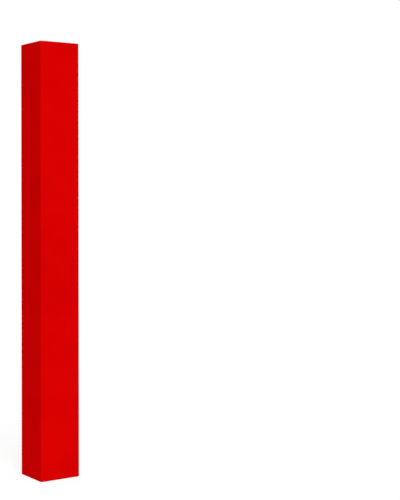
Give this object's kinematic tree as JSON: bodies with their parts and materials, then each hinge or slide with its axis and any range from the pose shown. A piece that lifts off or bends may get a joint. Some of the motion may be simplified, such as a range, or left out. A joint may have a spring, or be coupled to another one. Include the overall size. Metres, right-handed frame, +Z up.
{
  "type": "square pole pad",
  "caption": "Tall square padded sleeve of foam boards in red coated cloth that folds round a square goal pole and shuts with a hook and loop flap.",
  "frame": {"origin": "on the floor at the middle of the square bore that the pole passes through", "axes": "+Z up along the pole, -Y out of the wide face that the picture shows, +X to the right when facing it"},
  "size_m": [0.196, 0.196, 2],
  "materials": {
    "cover": "red vinyl-coated polyester cloth, smooth satin face with a faint weave",
    "lining": "thin red vinyl-coated cloth, matt",
    "foam": "closed-cell polyethylene foam board, off-white, fine cells",
    "hook_tape": "black woven nylon tape with stiff hooks",
    "loop_tape": "black woven nylon tape with a brushed loop pile"
  },
  "bodies": {
    "front_panel": {"front_outer_cover": "cover", "front_foam_board": "foam", "front_inner_lining": "lining", "front_bottom_cap": "cover", "front_top_cap": "cover", "front_left_fold": "cover", "front_right_fold": "cover"},
    "left_panel": {"left_outer_cover": "cover", "left_foam_board": "foam", "left_inner_lining": "lining", "left_bottom_cap": "cover", "left_top_cap": "cover", "back_left_fold": "cover"},
    "back_panel": {"back_outer_cover": "cover", "back_foam_board": "foam", "back_inner_lining": "lining", "back_bottom_cap": "cover", "back_top_cap": "cover"},
    "right_panel": {"right_outer_cover": "cover", "right_foam_board": "foam", "right_inner_lining": "lining", "right_bottom_cap": "cover", "right_top_cap": "cover", "loop_tape": "loop_tape"},
    "closure_flap": {"closure_flap": "cover", "hook_tape": "hook_tape"}
  },
  "joints": [
    {"name": "left_panel_fold", "type": "hinge", "parent": "front_panel", "child": "left_panel", "pos_m": [-0.0955, -0.0955, 1], "axis": [0, 0, 1], "range_deg": [0, 135]},
    {"name": "back_panel_fold", "type": "hinge", "parent": "left_panel", "child": "back_panel", "pos_m": [-0.0955, 0.0955, 1], "axis": [0, 0, 1], "range_deg": [0, 135]},
    {"name": "right_panel_fold", "type": "hinge", "parent": "front_panel", "child": "right_panel", "pos_m": [0.0955, -0.0955, 1], "axis": [0, 0, -1], "range_deg": [0, 135]},
    {"name": "closure_flap_peel", "type": "hinge", "parent": "back_panel", "child": "closure_flap", "pos_m": [0.062, 0.098, 1], "axis": [0, 0, 1], "range_deg": [0, 150]}
  ]
}
